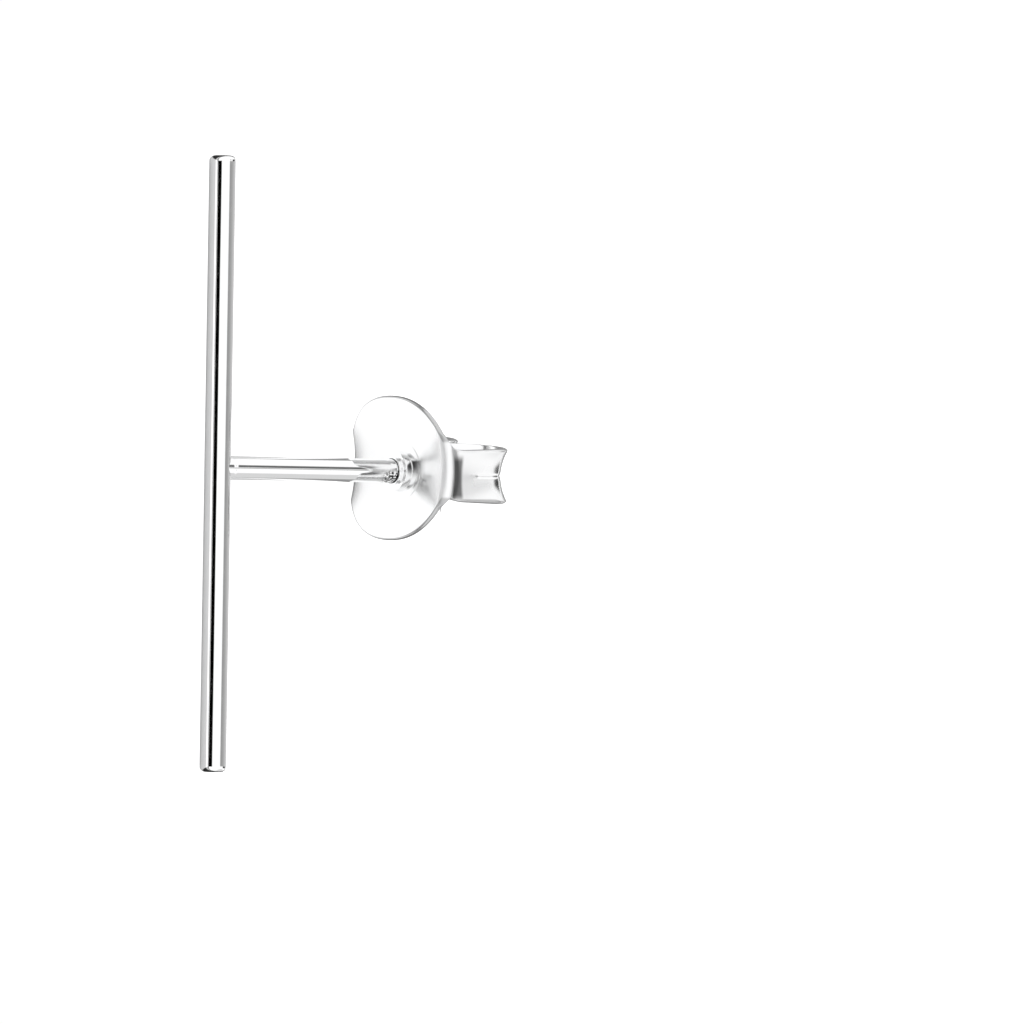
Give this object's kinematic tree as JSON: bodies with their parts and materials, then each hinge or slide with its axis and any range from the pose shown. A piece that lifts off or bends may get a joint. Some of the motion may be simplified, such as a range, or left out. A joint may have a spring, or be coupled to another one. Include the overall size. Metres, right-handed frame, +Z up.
{
  "type": "bar earring with butterfly clutch",
  "caption": "Slim round bar with an ear post soldered square to its middle, and a folded sheet clutch that grips the post, for a pierced ear.",
  "frame": {"origin": "middle of the box round the whole earring, on the surface it lies on", "axes": "+Y along the bar, +X from the bar towards the clutch, +Z up from the surface"},
  "size_m": [0.013, 0.0232, 0.0061],
  "materials": {
    "polished_wire": "polished silver, very fine scratches",
    "polished_sheet": "polished silver sheet, faint press marks"
  },
  "bodies": {
    "earring": {"bar_and_post": "polished_wire"},
    "clutch": {"butterfly_clutch": "polished_sheet"}
  },
  "joints": [
    {"name": "clutch_slide", "type": "slide", "parent": "earring", "child": "clutch", "axis": [0.9659, 0, 0.2589], "range_m": [-0.007, 0.009]}
  ]
}
